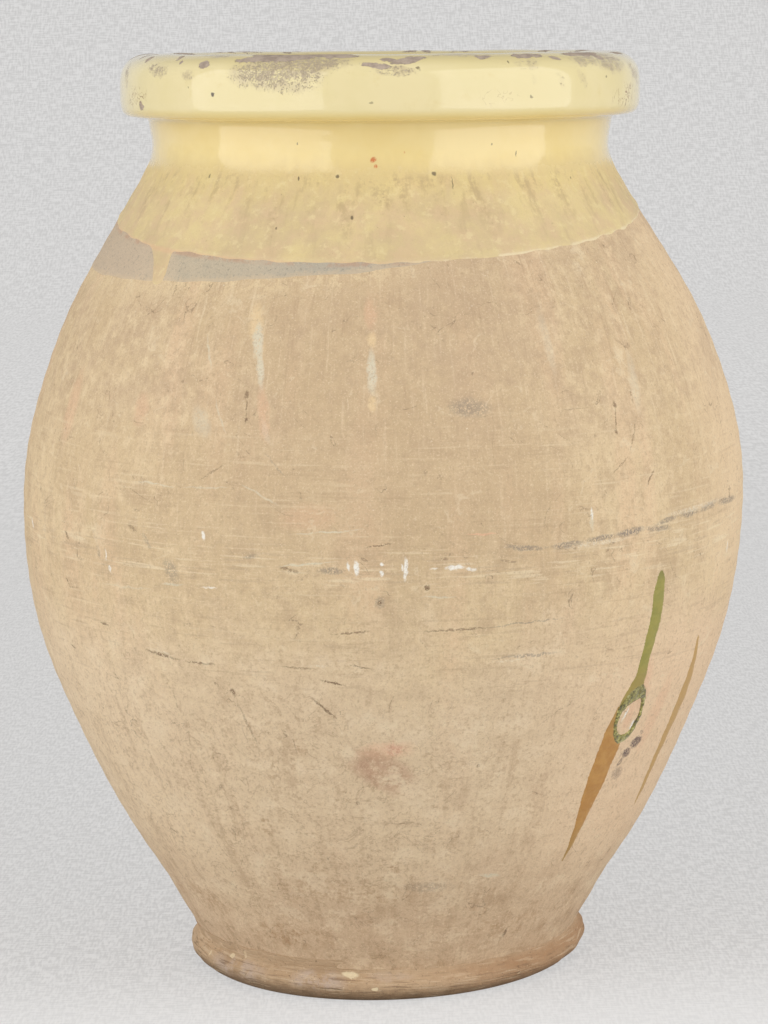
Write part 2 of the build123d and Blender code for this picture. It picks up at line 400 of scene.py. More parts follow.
def tint(red, green, blue):
    """A colour as the eye reads it, from 0 to 255, made linear."""
    shares = [c / 255 for c in (red, green, blue)]
    return tuple(s / 12.92 if s <= 0.04045 else ((s + 0.055) / 1.055) ** 2.4 for s in shares) + (1.0,)


class Finish:
    """A material for the jar, with its place measured along the jar's own axis."""

    def __init__(self, name):
        self.material = bpy.data.materials.new(name)
        self.material.use_nodes = True
        self.tree = self.material.node_tree
        self.tree.nodes.clear()
        self.here = self.add("ShaderNodeTexCoord", out="Object")
        x, y, z = self.parts(self.here)
        self.side = x * cos(lean) - z * sin(lean)
        self.front = 0 - y
        self.height = (x * sin(lean) + z * cos(lean)) / mm
        radius = (self.side * self.side + self.front * self.front).math("SQRT")
        self.radius = radius / mm
        self.side, self.front = self.side / radius, self.front / radius
        self.angle = self.side.math("ARCTAN2", self.front) * degrees(1)

    def add(self, kind, settings=None, sockets=None, out=0):
        node = self.tree.nodes.new(kind)
        for key, value in (settings or {}).items():
            setattr(node, key, value)
        for key, value in (sockets or {}).items():
            if isinstance(value, Wire):
                self.tree.links.new(value.socket, node.inputs[key])
            else:
                node.inputs[key].default_value = value
        return Wire(self, node.outputs[out]) if node.outputs else None

    def parts(self, vector):
        split = self.add("ShaderNodeSeparateXYZ", sockets={0: vector}).socket.node
        return [Wire(self, socket) for socket in split.outputs]

    def joined(self, x, y, z=0.0):
        return self.add("ShaderNodeCombineXYZ", sockets={0: x, 1: y, 2: z})

    def noise(self, size, detail=2.0, rough=0.5, place=None, warp=0.0):
        """Noise whose lumps are about this many millimetres across."""
        scale = 1 / (size * mm) if place is None else 1 / size
        sockets = {"Vector": place or self.here, "Scale": scale, "Detail": detail, "Roughness": rough}
        return self.add("ShaderNodeTexNoise", sockets={**sockets, "Distortion": warp})

    def mix(self, under, over, share):
        return self.add("ShaderNodeMix", {"data_type": "RGBA"}, {0: share, 6: under, 7: over}, out=2)

    def start(self, shades, others, share):
        """Starts a colour between two tints."""
        self.colour = self.mix(tint(*shades), tint(*others), share)

    def lay(self, shades, share):
        """Lays a tint over the colour, as far as the share says."""
        self.colour = self.mix(self.colour, tint(*shades), share)

    def stain(self, shades, value, low, high, share=1.0):
        """Lays a tint on where the value goes from low to high."""
        self.lay(shades, value.between(low, high) * share)

    def mix_number(self, under, over, share):
        return self.add("ShaderNodeMix", {"data_type": "FLOAT"}, {0: share, 2: under, 3: over})

    def streaks(self, width, length, detail=3.0):
        """Noise drawn out up and down the wall."""
        turn = belly_radius / width
        place = self.joined(self.side * turn, self.front * turn, self.height / length)
        return self.noise(1.0, detail, place=place)

    def marks(self, surface, soft, *lines):
        """Dots at an angle and a height, or marks drawn on to another, each with half its width and its strength."""
        total = None
        for *ends, width, strength in lines:
            start, low, end, high = ends if len(ends) == 4 else ends * 2
            x, y = (start + end) / 2 * surface.pace, (low + high) / 2 * surface.climb
            run, rise = (end - start) * surface.pace, (high - low) * surface.climb
            turn, length = atan2(rise, run), hypot(run, rise) / 2 + width
            squares = []
            for way_x, way_y, reach in ((cos(turn), sin(turn), length), (-sin(turn), cos(turn), width)):
                way = (way_x / reach, way_y / reach, -(x * way_x + y * way_y) / reach)
                sockets = {0: surface.place, 1: way}
                part = self.add("ShaderNodeVectorMath", {"operation": "DOT_PRODUCT"}, sockets, out="Value")
                squares.append(part * part)
            mark = (squares[0] + squares[1]).between(1.0, (1 - soft) ** 2, most=strength)
            total = mark if total is None else total | mark
        return total

    def close(self, rough, bumps=(), specular=0.5, coat=0.0):
        """Ends the material in its shader; bumps are pairs of a height and its depth in millimetres."""
        normal = None
        for height, depth in bumps:
            sockets = {"Height": height, "Distance": depth * mm, "Strength": 1.0}
            if normal is not None:
                sockets["Normal"] = normal
            normal = self.add("ShaderNodeBump", sockets=sockets)
        sockets = {"Base Color": self.colour, "Roughness": rough, "Specular IOR Level": specular, "Coat Weight": coat}
        if normal is not None:
            sockets["Normal"] = normal
        shader = self.add("ShaderNodeBsdfPrincipled", sockets=sockets)
        self.add("ShaderNodeOutputMaterial", sockets={"Surface": shader})
        return self.material


class Surface:
    """Flat coordinates that marks are laid out on, in millimetres, with ragged edges."""

    def __init__(self, finish, across, up, pace, climb, ragged, grain):
        self.pace, self.climb, self.up = pace, climb, up
        rag_across = finish.noise(grain, 3.0) - 0.5
        rag_up = finish.noise(grain * 1.3, 3.0) - 0.5
        self.place = finish.joined(across * pace + rag_across * ragged, up * climb + rag_up * ragged, 1.0)


def wall_surface(finish, ragged=5.0, grain=7.0):
    return Surface(finish, finish.angle, finish.height, radians(1) * belly_radius, 1.0, ragged, grain)


def rim_surface(finish, ragged=7.0, grain=6.0):
    """Goes over the rim: across it is the angle round the jar, and up it the turn about the roll's middle."""
    roll_middle, roll_height, roll_radius = 172.0, 668.0, 21.0
    over = (finish.height - roll_height).math("ARCTAN2", finish.radius - roll_middle)
    pace, climb = radians(1) * rim_radius, radians(1) * roll_radius
    return Surface(finish, finish.angle, over * degrees(1), pace, climb, ragged, grain)


def clay_finish():
    clay = Finish("raw_clay")
    wall = wall_surface(clay)
    cloud, patch, blot = clay.noise(85, 4, 0.6), clay.noise(24, 5, 0.65), clay.noise(8, 4, 0.65)
    fleck, grain = clay.noise(3.2, 3, 0.7), clay.noise(1.2, 3, 0.7)
    brushed, combed, wiped = clay.streaks(2.6, 34), clay.streaks(9, 80, 5), clay.streaks(38, 200, 4)
    clay.start((214, 188, 149), (225, 200, 160), cloud.between(0.38, 0.62))
    clay.stain((230, 196, 160), wiped, 0.48, 0.7, 0.55)
    clay.stain((198, 171, 137), patch, 0.49, 0.66, 0.6)
    clay.stain((233, 208, 170), combed, 0.54, 0.74, 0.35)
    clay.stain((200, 173, 138), blot, 0.52, 0.66, 0.5)
    clay.stain((236, 212, 174), blot, 0.47, 0.35, 0.45)
    # Painted shade: the front of the wall is darker from about 300 mm up. Painted light: the right side is lighter
    # from about 240 mm up.
    clay.lay((200, 172, 138), clay.front.between(0.8, 0.99) * clay.height.between(300, 400) * 0.5)
    clay.lay((238, 210, 172), clay.side.between(0.78, 0.98) * clay.height.between(240, 330) * 0.8)

    # Painted light under the belly, stronger towards the sides, and browner towards the foot
    slow = clay.height + (cloud - 0.5) * 140
    clay.stain((231, 207, 174), slow, 330, 225, 0.75)
    clay.lay((244, 220, 186), clay.front.between(0.92, 0.62) * slow.between(330, 225) * 0.35)
    low = slow.between(150, 45)
    clay.lay((213, 184, 152), low * 0.8)
    clay.lay((190, 158, 124), low * (patch + (blot - 0.5) * 0.8).between(0.52, 0.74) * 0.6)
    soiled = slow.between(320, 190) * (combed + (fleck - 0.5) * 0.8 + (patch - 0.5) * 0.9).between(0.48, 0.8)
    clay.lay((182, 151, 118), soiled * 0.4)
    vein = (clay.noise(24, 5.0, 0.62, warp=0.7) - 0.5).math("ABSOLUTE")
    veins = vein.between(0.016, 0.004) * slow.between(310, 200) * blot.between(0.4, 0.54)
    clay.lay((160, 130, 100), veins * clay.side.between(0.45, 0, 0.12, 0.4))
    # Painted light under the belly, laid in pale patches.
    under_belly_light_patches = slow.between(330, 250) * (patch + (fleck - 0.5) * 0.6).between(0.46, 0.34)
    clay.lay((238, 216, 184), under_belly_light_patches * 0.5)
    brushing = clay.height.between(400, 500, 0.2, 0.5)
    clay.lay((188, 158, 128), brushed.between(0.44, 0.28) * patch.between(0.4, 0.56) * brushing)
    clay.lay((238, 216, 180), brushed.between(0.57, 0.74) * brushing)
    # Painted light on the right side of the lower belly.
    right = clay.side.between(0.3, 0.85) * slow.between(330, 250) * clay.height.between(60, 140)
    clay.lay((237, 206, 171), right * 0.75)
    upper = clay.height.between(400, 470) * (cloud + (blot - 0.5) * 0.5).between(0.42, 0.66)
    clay.lay((196, 168, 138), upper * 0.5)

    # A pale ragged fringe under the slip, and scuffs round the widest level
    dip = dip_line(slip_dip, clay.side, clay.front)
    under = (dip - clay.height).between(22, 1) * clay.side.between(0.35, -0.1)
    clay.lay((236, 212, 170), under * (blot + (fleck - 0.5) * 0.7).between(0.42, 0.6) * 0.7)
    level = clay.height + (patch - 0.5) * 30
    worn = level.between(318, 338) * level.between(366, 350)
    scuff = clay.streaks(46, 3, 5)
    clay.lay((240, 222, 188), worn * scuff.between(0.57, 0.66) * 0.55)
    clay.lay((176, 152, 128), worn * scuff.between(0.42, 0.33) * 0.28)
    scored = level.between(230, 262) * level.between(325, 300) * scuff.between(0.395, 0.36)
    clay.lay((168, 140, 112), scored * 0.2)

    # Marks on the front, the sharper of them with finer edges
    sharp = wall_surface(clay, 3.2, 2.4)
    broken = (fleck + (grain - 0.5)).between(0.36, 0.56)
    creamy = clay.marks(
        wall, 0.9, (-22.4, 516, -21.8, 500, 8, 0.9), (-21.2, 506, -20, 478, 6.5, 0.4), (-1.9, 499, -1.8, 495, 5, 0.9),
        (-1.7, 458, -1.6, 452, 4, 0.9),
    )
    clay.lay((232, 204, 160), creamy)
    pale = clay.marks(
        wall, 0.8, (-21.6, 506, -20.6, 484, 5.4, 1), (-20.6, 490, -19.4, 464, 3.8, 1),
        (-18.7, 444, -17.4, 428, 3, 0.5), (-1.9, 490, -1.7, 462, 4.4, 1), (-29.9, 446, -28, 434, 8, 0.5),
        (31.8, 378, 31.8, 364, 2.2, 0.7), (-14.1, 367, -2.2, 372, 0.9, 0.9), (-16.1, 345, -6.5, 349, 0.9, 0.9),
        (4.9, 324, 10.6, 324, 0.9, 0.8), (19.8, 106, 25.4, 103, 2, 0.9), (-35, 326, -30.5, 328, 1.2, 0.8),
        (-40.9, 397, -31.8, 395, 0.8, 0.8), (-31.8, 395, -22.5, 398, 0.8, 0.6), (-22, 402, -15, 386, 1, 0.7),
        (-31.1, 499, -28.6, 474, 1.2, 0.7), (-27.4, 458, -24.3, 431, 1, 0.6), (28, 515, 28.4, 470, 5, 0.35),
        (44.5, 480, 43.5, 440, 6, 0.4), (-48, 320, -36, 322, 1, 0.4),
    )
    clay.lay((224, 213, 187), pale * (fleck + (grain - 0.5)).between(0.3, 0.48))
    rosy = clay.marks(
        wall, 0.9, (-19.4, 464, -17.8, 430, 6, 0.45), (-2.2, 520, -1.9, 508, 7, 0.4), (45.4, 229, 45, 211, 7, 0.5),
        (11.4, 367, 16.7, 366, 0.9, 0.8), (-41.2, 452, -41.2, 440, 9, 0.4), (-60, 460, -60, 420, 12, 0.4),
        (-4, 210, 4, 213, 9, 0.45), (46, 260, 47, 225, 12, 0.5), (54, 240, 52, 190, 12, 0.4),
        (-14, 378, -8, 380, 12, 0.3),
    )
    clay.lay((232, 186, 152), rosy)
    spot = clay.marks(wall, 1.0, (0.2, 212, 2.2, 212, 5, 0.8), (1.2, 222, 1, 203, 1.6, 0.5))
    clay.lay((206, 132, 116), spot * broken * 0.6)
    flushed = clay.marks(wall, 1.0, (-4.5, 204, 4, 184, 17, 0.8))
    clay.lay((184, 140, 114), flushed * (patch + (fleck - 0.5) * 0.4).between(0.3, 0.56) * 0.9)
    grey = clay.marks(
        wall, 0.9, (10.8, 452, 15.6, 451, 8.5, 0.7), (-9.5, 343, -5.8, 343, 2.8, 0.8),
        (-33.4, 341, -32.4, 332, 7, 0.6), (-0.7, 321, 5, 0.6), (17, 357, 24.6, 354, 2.4, 0.9),
        (24.6, 354, 30.6, 356, 2.8, 1), (30.6, 356, 36, 358, 3, 1), (36, 358, 42, 359.5, 3.2, 1.2),
        (42, 359.5, 48.1, 357, 2.6, 1), (44, 361, 50, 364, 2.4, 1), (50, 364, 56, 365, 3.2, 1),
        (56, 365, 62, 366.5, 3.4, 1), (62, 366.5, 72, 364, 3.6, 1), (13.9, 301, 28.7, 304, 0.9, 0.7),
        (15.8, 278, 28, 279, 1.6, 0.8), (-48.1, 346, -47.6, 340, 3, 0.6), (3, 99, 15, 97, 6, 0.4),
        (-38, 360, -36.8, 352, 3, 0.5), (-20.5, 351, -18.5, 351, 2.2, 0.6), (-18, 421, -14, 405, 0.9, 0.5),
    )
    clay.lay((138, 130, 122), grey * (grain + (fleck - 0.5) * 0.5).between(0.34, 0.58) * 0.8)
    soot = clay.marks(
        sharp, 0.6, (49.4, 195.5, 51, 195.5, 5.4, 1.2), (47.7, 188.5, 48.8, 188, 4.6, 1),
        (47.6, 184, 46.9, 180, 3, 0.7), (46.9, 173, 48.3, 172, 6, 0.5), (50.6, 203, 51, 202, 2.2, 0.5),
        (47, 190, 46.6, 186, 1.8, 0.4),
    )
    clay.lay((108, 92, 90), soot * grain.between(0.34, 0.54))
    chalk = clay.marks(
        sharp, 0.8, (26, 352.5, 40, 355.5, 2, 0.7), (44, 366, 66, 369, 2.4, 0.7), (15.5, 275.5, 22, 276, 1, 0.8),
        (-40, 279, -33, 275, 0.9, 0.6), (-12, 275, -8, 275.5, 1, 0.7),
    )
    clay.lay((244, 232, 208), chalk * grain.between(0.46, 0.56))
    brown = clay.marks(
        sharp, 0.8, (6, 331, 2.6, 1), (-0.7, 321, 2, 1), (-2.9, 359, 1.4, 362, 0.8, 0.9),
        (-11.5, 252, -7.4, 235, 1.4, 0.9), (-39.7, 277, -32.2, 272, 1.4, 0.9), (-32.2, 272, -26, 272, 0.9, 0.8),
        (-59.8, 267, -58.3, 265, 1, 0.8), (-49, 291, -47, 290, 1.2, 0.9), (-28.6, 400, -23.4, 415, 0.8, 0.5),
        (44.7, 400, 42.6, 389, 1.1, 0.8), (42.8, 438, 39.8, 412, 0.8, 0.6), (39.8, 412, 35.8, 400, 0.8, 0.6),
        (42.6, 458, 42.7, 446, 1, 0.7), (4.2, 300, 16.9, 301, 0.9, 0.7), (-8, 298, -1.7, 301, 0.9, 0.8),
        (-9.8, 265, -5.9, 261, 1.1, 1), (-5.5, 277, -1.8, 273, 0.9, 0.7), (-24.3, 254, -24, 251, 2.6, 0.9),
        (-23.8, 247, -21.1, 209, 1.4, 0.5), (-5, 170, 2, 0.8), (15.8, 197, 1.8, 0.8), (33, 50, 33, 47, 3.2, 1),
        (-21.7, 461, -21.7, 458, 2.4, 0.8), (-21.6, 458, -21.3, 444, 0.8, 0.8), (-21.3, 444, -21.3, 442, 1.8, 0.9),
        (38.7, 448, 38.7, 446, 2.2, 0.8), (38.6, 446, 38, 430, 0.7, 0.8), (37.9, 430, 37.9, 428, 1.6, 0.9),
        (-16, 274, -10, 273, 1, 0.6), (-15.5, 345, -12, 341, 1.6, 0.7), (-41, 366, -39.5, 362, 1.8, 0.6),
        (-57, 352, -56, 348, 1.8, 0.8), (-57.5, 318, -57, 316, 1.4, 0.9),
    )
    clay.lay((122, 97, 73), brown * (grain + (fleck - 0.5) * 0.5).between(0.34, 0.52) * 0.95)
    ochre = clay.marks(
        wall, 1.0, (1.3, 113, 1.3, 105, 8, 0.8), (1.6, 134, 1.3, 114, 3.5, 0.6), (-14.1, 118, 8, 0.6),
        (-23.3, 150, -23.3, 143, 8, 0.6), (-14, 216, -14, 210, 7, 0.5), (-40.6, 49, -14.8, 51, 14, 0.7),
        (-58, 70, -44, 66, 16, 0.5), (20, 58, 44, 54, 12, 0.4), (-30, 96, 6, 92, 14, 0.4),
    )
    clay.lay((172, 132, 92), ochre * (blot + (fleck - 0.5) * 0.6).between(0.42, 0.66) * 0.8)
    # White chips and flecks; the last two marks, inside the ring scar, are painted highlights on its glassy inner
    # edge.
    white_chips_and_highlights = clay.marks(
        sharp, 0.6, (-4.1, 349, -4, 341, 2.2, 1), (-5.3, 349, -5.1, 343, 1, 0.9), (-0.4, 348, 1.8, 1),
        (-0.4, 343, -0.4, 340, 1.5, 1), (3.1, 352, 2.9, 336, 1.7, 1), (2.5, 347, 2.5, 343, 1, 0.9),
        (8.8, 344.5, 11.4, 344.5, 2, 1), (11.8, 343, 13.2, 342, 1.5, 0.9), (31.8, 379, 31.8, 371, 1.2, 0.9),
        (-27.2, 366, -27.1, 361, 1.6, 0.9), (-45.4, 334, -45.2, 331, 1.7, 0.9), (-46.2, 346, -46, 338, 0.9, 0.8),
        (68, 334, 68, 326, 1.6, 0.7), (-72, 352, -71, 346, 2, 0.7), (6.5, 344, 7.6, 344, 1, 0.7),
        (-27.8, 327, -25, 328, 0.7, 0.7), (43.5, 216, 44.6, 227, 1.1, 1), (46.7, 208, 47, 214, 1.8, 0.9),
    )
    clay.lay((250, 245, 234), white_chips_and_highlights * grain.between(0.3, 0.44))

    # Small marks strewn over the whole wall
    strewn = clay.noise(52, 3.0, place=clay.joined(clay.angle * 4.0, clay.height, 0.0), warp=1.2)
    thread = (strewn - 0.5).math("ABSOLUTE")
    scratch = thread.between(0.005, 0.0015) * patch.between(0.5, 0.6) * broken
    clay.lay((146, 122, 98), scratch * 0.7)
    clay.lay((242, 224, 190), thread.between(0.016, 0.012) * patch.between(0.47, 0.39) * broken * 0.45)
    clay.lay((140, 114, 90), fleck.between(0.68, 0.78) * blot.between(0.46, 0.6) * 0.75)
    clay.stain((246, 232, 206), fleck, 0.31, 0.23, 0.75)
    clay.stain((196, 169, 136), fleck, 0.53, 0.66, 0.45)
    clay.stain((186, 159, 128), grain, 0.55, 0.7, 0.5)
    clay.stain((242, 222, 188), grain, 0.45, 0.31, 0.5)
    level_marks = clay.streaks(70, 2.2, 4)
    levelled = clay.height.between(230, 330) * clay.height.between(480, 400) * patch.between(0.4, 0.56)
    clay.lay((186, 158, 126), levelled * level_marks.between(0.56, 0.7) * 0.3)
    clay.lay((240, 220, 184), levelled * level_marks.between(0.44, 0.3) * 0.35)
    rough = brushed.between(0.2, 0.8, 0.86, 0.7)
    bumps = [(patch, 1.2), (brushed, 0.5), (fleck, 0.7), (grain, 0.3)]
    return clay.close(rough, bumps, specular=0.28)


def foot_finish():
    foot = Finish("foot_clay")
    wall = wall_surface(foot, 6.0, 8.0)
    cloud, patch, blot = foot.noise(60, 4, 0.6), foot.noise(15, 5, 0.7), foot.noise(5, 4, 0.7)
    fleck = foot.noise(1.8, 3, 0.7)
    scraped = foot.streaks(46, 1.6, 5)
    foot.start((190, 160, 127), (207, 179, 146), cloud.between(0.36, 0.64))
    foot.stain((170, 136, 102), patch, 0.52, 0.7, 0.6)
    # Painted shade: the foot is darker and browner towards its right side.
    foot.stain((178, 140, 106), foot.side, 0, 0.7, 0.75)
    lilac = foot.marks(wall, 0.9, (-28, 14, -12, 15, 10, 0.9), (-62, 12, -36, 12, 11, 0.8), (-6, 20, 8, 20, 4, 0.4))
    foot.lay((200, 180, 164), lilac * patch.between(0.36, 0.58))
    above = (foot.height + (patch - 0.5) * 8).between(20, 29)
    foot.lay((206, 178, 145), above * 0.7)
    # Painted shade: the lower edge of the foot ring, under its bulge and next to the floor, is darkened, with a
    # ragged top.
    foot_edge_shade = (foot.height + (patch - 0.5) * 12 + (scraped - 0.5) * 18).between(13, 3)
    foot.lay((130, 105, 80), foot_edge_shade * 0.75)
    foot.lay((126, 102, 78), scraped.between(0.55, 0.66) * foot.height.between(26, 14) * 0.65)
    foot.stain((224, 200, 168), scraped, 0.44, 0.34, 0.5)
    chips = foot.marks(
        wall, 0.4, (-13, 20.6, -8.2, 20.4, 2.5, 1), (-4, 12, -2.6, 12, 1.5, 1), (-53, 19, -51.5, 20, 2.4, 0.8),
        (-46.5, 23, -45.5, 26, 2.6, 0.6), (39.5, 12, 40.5, 12.6, 1.2, 0.5), (-64.5, 14, -63.5, 14, 2, 0.6),
    )
    foot.lay((238, 219, 182), chips)
    foot.stain((236, 214, 180), fleck, 0.38, 0.26, 0.7)
    foot.stain((112, 88, 68), fleck + (blot - 0.5) * 0.6, 0.62, 0.76, 0.7)
    bumps = [(patch, 2.0), (scraped, 1.2), (blot, 1.0), (fleck, 0.5)]
    return foot.close(0.85, bumps, specular=0.25)


def slip_finish():
    slip = Finish("grey_slip")
    cloud, patch = slip.noise(50, 4, 0.6), slip.noise(11, 5, 0.65)
    fleck, grain = slip.noise(2.2, 3, 0.7), slip.noise(1, 3, 0.7)
    slip.start((210, 192, 164), (199, 184, 159), cloud.between(0.38, 0.62))
    slip.stain((184, 173, 152), patch, 0.5, 0.68, 0.5)
    slip.stain((186, 176, 158), slip.angle, -34, -12, 0.85)
    slip.stain((210, 184, 158), slip.side, -0.62, -0.86, 0.45)
    slip.stain((150, 140, 124), fleck, 0.56, 0.7, 0.6)
    slip.stain((228, 212, 182), grain, 0.42, 0.28, 0.6)
    slip.stain((160, 150, 134), grain, 0.56, 0.7, 0.6)
    dip = dip_line(glaze_dip, slip.side, slip.front)
    rust = (dip - slip.height).between(3, 0.4) * patch.between(0.42, 0.6)
    slip.lay((196, 150, 120), rust * 0.5)
    low = dip_line(slip_dip, slip.side, slip.front)
    fringe = (slip.height - low + (fleck - 0.5) * 8 + (patch - 0.5) * 6).between(4, 0.5)
    slip.lay((216, 192, 158), fringe * 0.5)
    bumps = [(patch, 0.8), (fleck, 0.6), (grain, 0.3)]
    return slip.close(0.78, bumps, specular=0.3)


def yellow_finish():
    glaze = Finish("yellow_glaze")
    wall = wall_surface(glaze)
    rim = rim_surface(glaze)
    cloud, patch, blot = glaze.noise(70, 4, 0.6), glaze.noise(19, 5, 0.65), glaze.noise(7, 4, 0.65)
    fleck, grain = glaze.noise(2.4, 3, 0.7), glaze.noise(0.9, 3, 0.7)
    combed = glaze.streaks(11, 34, 5)
    up_rim = glaze.height.between(rim_underside - 1, rim_underside + 6)

    # Glossy above the gloss line, dull and mottled below it
    level = glaze.height + (combed - 0.5) * 12 + (blot - 0.5) * 9
    gloss = level.between(gloss_line - 5, gloss_line + 5)
    glaze.start((214, 190, 146), (227, 204, 152), cloud.between(0.42, 0.62))
    glaze.stain((220, 190, 152), patch, 0.46, 0.62, 0.5)
    glaze.stain((230, 212, 150), patch, 0.48, 0.34, 0.3)
    glaze.stain((232, 210, 142), glaze.height + (combed - 0.5) * 40, 580, 606, 0.45)
    glaze.stain((198, 174, 134), combed, 0.54, 0.74, 0.4)
    dirt = glaze.height.between(556, 606) * (combed + (blot - 0.5) * 0.7 + (fleck - 0.5) * 0.3).between(0.5, 0.72)
    glaze.lay((186, 162, 122), dirt * 0.5)
    glaze.stain((240, 222, 170), blot, 0.46, 0.32, 0.4)
    glaze.stain((196, 172, 130), grain, 0.57, 0.72, 0.4)
    glaze.lay((150, 132, 92), fleck.between(0.66, 0.76) * patch.between(0.46, 0.6) * 0.7)
    dip = dip_line(glaze_dip, glaze.side, glaze.front)
    edge = (glaze.height - dip + (fleck - 0.5) * 3).between(2.4, 0.2) * (glaze.height - dip).between(-3, -1)
    glaze.lay((226, 188, 148), edge * glaze.side.between(0.5, -0.3) * 0.6)
    pale_edge = (glaze.height - dip + (fleck - 0.5) * 2).between(2, 0.4) * glaze.side.between(-0.1, 0.3)
    glaze.lay((238, 222, 184), pale_edge * patch.between(0.38, 0.54) * 0.7)
    smears = glaze.marks(
        wall, 1.0, (-9, 596, -6.5, 562, 9, 0.7), (21, 600, 23, 566, 11, 0.5), (43, 602, 45, 576, 10, 0.5),
        (-24, 592, -23, 560, 6, 0.6), (-50, 600, -46, 576, 8, 0.5), (61, 600, 63, 572, 9, 0.6),
        (-68, 598, -64, 572, 9, 0.6), (-2, 594, 2, 588, 8, 0.8), (3, 606, 5, 590, 5, 0.8),
        (-38, 606, -34, 598, 7, 0.7), (12, 604, 18, 600, 6, 0.5),
    )
    glaze.lay((194, 170, 128), smears * (blot + (fleck - 0.5) * 0.5).between(0.4, 0.62) * 0.8)
    dull = glaze.colour
    glaze.start((239, 215, 146), (242, 220, 156), cloud.between(0.4, 0.62))
    glaze.stain((226, 202, 144), level, gloss_line + 14, gloss_line - 2, 0.7)
    glaze.stain((226, 200, 122), glaze.height, rim_underside - 11, rim_underside, 0.25)
    bright = glaze.colour
    glaze.start((235, 219, 164), (239, 223, 172), cloud.between(0.4, 0.62))
    glaze.stain((228, 206, 134), glaze.height, rim_underside + 8, rim_underside + 1, 0.9)
    # Painted shade: the crest of the rim is darker and yellower, to hold down the pale reflection it catches.
    glaze.stain((220, 200, 132), glaze.height, rim_shoulder_height, overall_height, 0.75)
    glaze.stain((228, 208, 146), patch, 0.56, 0.72, 0.4)
    glaze.colour = glaze.mix(dull, glaze.mix(bright, glaze.colour, up_rim), gloss)

    # Where the rim's glaze is worn to the biscuit
    main = glaze.marks(
        rim, 0.5, (-31, 78, -6, 80, 9, 1), (-30, 62, -14, 66, 7, 1), (-33, 50, -26, 60, 4, 0.9),
        (-41.3, 41, -40, 40, 4.6, 1), (-51, 68, -51, 56, 3, 0.9), (-48.5, 46, -48.5, 44, 1.6, 0.8),
        (-3.6, 40, 2, 35, 3.4, 0.9), (2.4, 46, 9.6, 58, 4.4, 1), (0, 55, 4, 50, 2.4, 0.8),
        (21.6, 58, 24.4, 60, 3.4, 0.8), (30, 62, 38, 62, 4.2, 1), (40, 54, 42.5, 46, 2.6, 0.8),
        (45, 66, 59, 66, 5, 1), (-36, 96, -30, 96, 3, 0.8), (-64.6, 60, -63.6, 50, 3.6, 0.8),
        (-72, 80, -72, 66, 5, 0.8), (68, 72, 80, 66, 4, 0.9), (-63.5, -33, -61.5, -33, 2.4, 0.7),
        (55, 60, 58, 48, 4, 0.8), (-13, 70, -5, 68, 5, 0.9),
    )
    speckled = glaze.marks(
        rim, 1.0, (-32, 24, -12, 30, 17, 0.9), (-30, 44, -6, 46, 12, 1), (-26, 8, -12, 10, 12, 0.6),
        (55, 44, 66, 38, 13, 0.85), (46, 44, 56, 44, 8, 0.7), (-58, 26, -52, 26, 6, 0.7), (-60, 34, -56, 34, 5, 0.7),
        (-2, 28, 8, 26, 5, 0.7), (40, 20, 42, -8, 4, 0.35), (46, 24, 49, -6, 5, 0.4), (33, 16, 34, -4, 3, 0.3),
        (-44, 70, -34, 74, 6, 0.7), (8, 70, 30, 72, 5, 0.6), (-46, 20, -43, 18, 5, 0.6), (70, 30, 78, 0, 8, 0.7),
        (-76, 40, -72, 0, 7, 0.7), (30, 40, 36, 42, 7, 0.5),
    )
    back = glaze.front.between(0.25, -0.05)
    crown = rim.up.between(30, 58) * rim.up.between(130, 100)
    strewn = (glaze.noise(46, 5, 0.62) + (blot - 0.5) * 0.35).between(0.53, 0.58)
    ragged = (grain - 0.5) * 0.9 + (fleck - 0.5) * 0.9
    solid = ((main | (back * crown * strewn)) + ragged).between(0.42, 0.58)
    peppered = (speckled * 0.5 + ragged * 1.6).between(0.38, 0.52) * speckled.between(0.03, 0.25)
    bare = (solid | (peppered * 0.62)) * up_rim
    biscuit = glaze.mix(tint(192, 174, 156), tint(169, 151, 136), blot.between(0.4, 0.62))
    biscuit = glaze.mix(biscuit, tint(142, 122, 102), grain.between(0.54, 0.7) * 0.6)
    glaze.lay((208, 190, 152), speckled.between(0.15, 0.8) * blot.between(0.36, 0.58) * up_rim * 0.85)
    glaze.colour = glaze.mix(glaze.colour, biscuit, bare)

